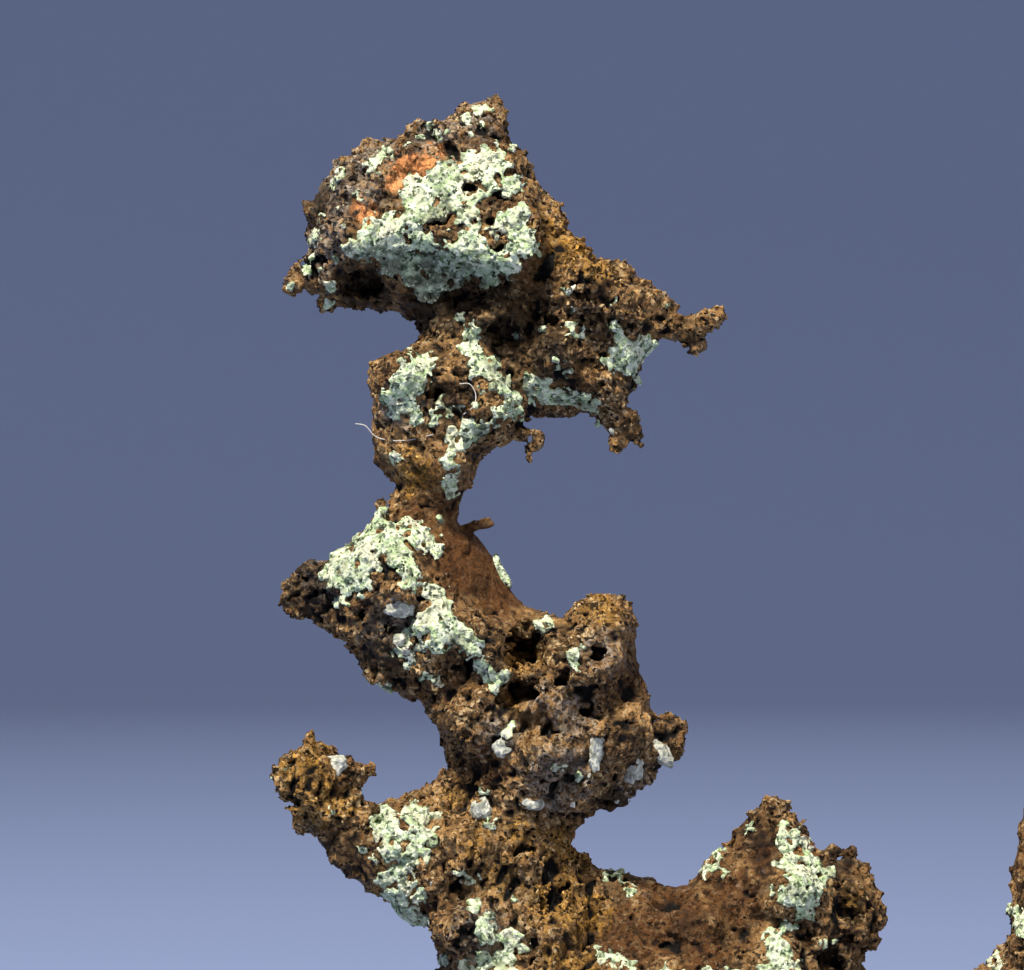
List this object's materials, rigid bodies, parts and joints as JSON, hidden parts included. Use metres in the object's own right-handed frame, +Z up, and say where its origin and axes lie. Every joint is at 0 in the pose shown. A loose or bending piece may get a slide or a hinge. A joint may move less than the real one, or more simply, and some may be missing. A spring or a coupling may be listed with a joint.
{
  "type": "native copper nugget",
  "caption": "Free-standing branching nugget of weathered native copper with malachite crusts and wedged calcite grains, on a low lumpy base worn flat underneath.",
  "frame": {"origin": "on the ground below the middle of the bounding box", "axes": "+Z up and longest, -Y the front face that the crusts are on, +X to the right as seen from the front, Y the shortest"},
  "size_m": [0.0403, 0.0156, 0.0519],
  "materials": {
    "native_copper": "weathered native copper, dark brown granular patina with reddish, ochre and golden patches",
    "malachite": "dull pale mint-green granular crust, grey-green in its crevices",
    "calcite": "grey-white glassy grain with flat cleavage faces"
  },
  "bodies": {
    "root": {"base": "native_copper", "stem": "native_copper", "knob_branch": "native_copper", "right_branch": "native_copper", "outer_branch": "native_copper", "trunk": "native_copper", "left_point": "native_copper", "neck": "native_copper", "crown_branch": "native_copper", "crown": "native_copper", "crown_crust": "malachite", "branch_lump_crust": "malachite", "branch_hem_crust": "malachite", "neck_left_crust": "malachite", "neck_stripe_crust": "malachite", "neck_drip_crust": "malachite", "point_crust": "malachite", "knob_arm_crust": "malachite", "stem_crust": "malachite", "right_peak_crust": "malachite", "right_low_crust": "malachite", "outer_crust": "malachite", "point_grain": "calcite", "body_grain": "calcite", "body_sliver": "calcite", "body_low_grain": "calcite", "stem_grain": "calcite", "lobe_grain_a": "calcite", "lobe_grain_b": "calcite", "knob_grain": "calcite"}
  },
  "joints": []
}
